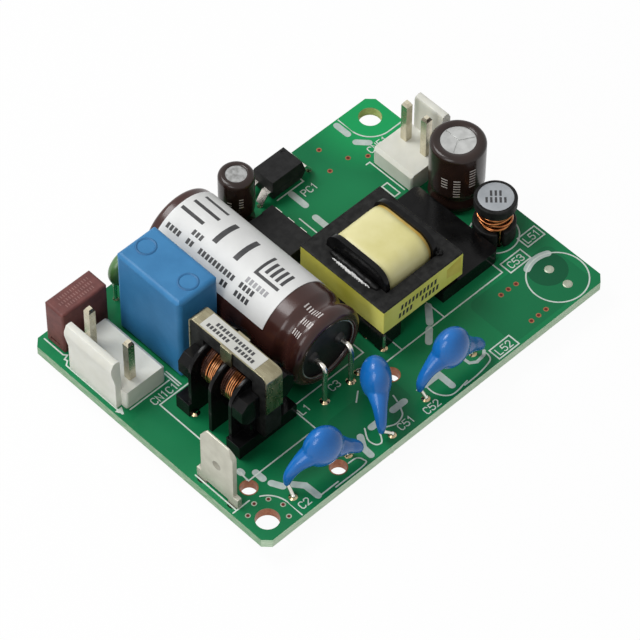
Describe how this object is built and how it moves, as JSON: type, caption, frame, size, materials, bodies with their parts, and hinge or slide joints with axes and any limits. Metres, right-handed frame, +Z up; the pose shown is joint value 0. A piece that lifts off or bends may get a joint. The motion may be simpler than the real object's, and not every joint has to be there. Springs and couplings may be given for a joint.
{
  "type": "switching power supply",
  "caption": "Open-frame mains power supply: a green board with headers, choke, reservoir capacitor, transformer, dipped capacitors and output filter.",
  "frame": {"origin": "midway between the two mounting holes, on the underside of the board", "axes": "+X along the board from the mains input to the output, +Y across the board towards the fuse, +Z up out of the component side"},
  "size_m": [0.066, 0.0474, 0.0202],
  "materials": {
    "board": "gloss solder mask",
    "solder": "bright solder",
    "nylon": "moulded nylon",
    "contact": "tinned brass",
    "tinned_sheet": "tinned sheet",
    "fuse_case": "moulded",
    "lead_wire": "tinned wire",
    "film_case": "moulded",
    "green_coating": "dipped resin",
    "black_moulding": "moulded",
    "ferrite": "sintered ferrite",
    "enamelled_wire": "enamelled copper",
    "can": "drawn",
    "sleeve": "shrink sleeve",
    "bung": "moulded rubber",
    "label": "satin label",
    "blue_coating": "dipped resin",
    "tape": "polyester tape",
    "package": "moulded epoxy",
    "chip_black": "chip resistor",
    "chip_tan": "chip capacitor"
  },
  "bodies": {
    "root": {"pcb": "board", "solder_joints": "solder", "input_header": "nylon", "input_pins": "contact", "output_header": "nylon", "output_pins": "contact", "earth_tab": "tinned_sheet", "fuse": "fuse_case", "fuse_leads": "lead_wire", "film_capacitor": "film_case", "film_capacitor_leads": "lead_wire", "inrush_thermistor": "green_coating", "inrush_thermistor_leads": "lead_wire", "choke_bobbin": "black_moulding", "choke_core_near": "ferrite", "choke_core_far": "ferrite", "choke_winding_near": "enamelled_wire", "choke_winding_far": "enamelled_wire", "choke_clip": "tinned_sheet", "choke_pins": "lead_wire", "bulk_capacitor_can": "can", "bulk_capacitor_sleeve": "sleeve", "bulk_capacitor_bung": "bung", "bulk_capacitor_leads": "lead_wire", "bulk_capacitor_label": "label", "y_capacitor_input": "blue_coating", "y_capacitor_input_leads": "lead_wire", "y_capacitor_middle": "blue_coating", "y_capacitor_middle_leads": "lead_wire", "y_capacitor_output": "blue_coating", "y_capacitor_output_leads": "lead_wire", "transformer_bobbin": "black_moulding", "transformer_core_input": "ferrite", "transformer_core_output": "ferrite", "transformer_winding": "tape", "transformer_tape": "tape", "transformer_pins": "lead_wire", "output_capacitor_can": "can", "output_capacitor_sleeve": "sleeve", "output_capacitor_bung": "bung", "output_capacitor_leads": "lead_wire", "supply_capacitor_can": "can", "supply_capacitor_sleeve": "sleeve", "supply_capacitor_bung": "bung", "supply_capacitor_leads": "lead_wire", "output_inductor_core": "ferrite", "output_inductor_winding": "enamelled_wire", "optocoupler": "package", "optocoupler_leads": "lead_wire", "switching_ic": "package", "switching_ic_leads": "lead_wire", "bridge_rectifier": "package", "bridge_rectifier_leads": "lead_wire", "output_rectifier": "package", "output_rectifier_leads": "lead_wire", "shunt_regulator": "package", "shunt_regulator_leads": "lead_wire", "chip_resistors": "chip_black", "chip_capacitors": "chip_tan"}
  },
  "joints": []
}
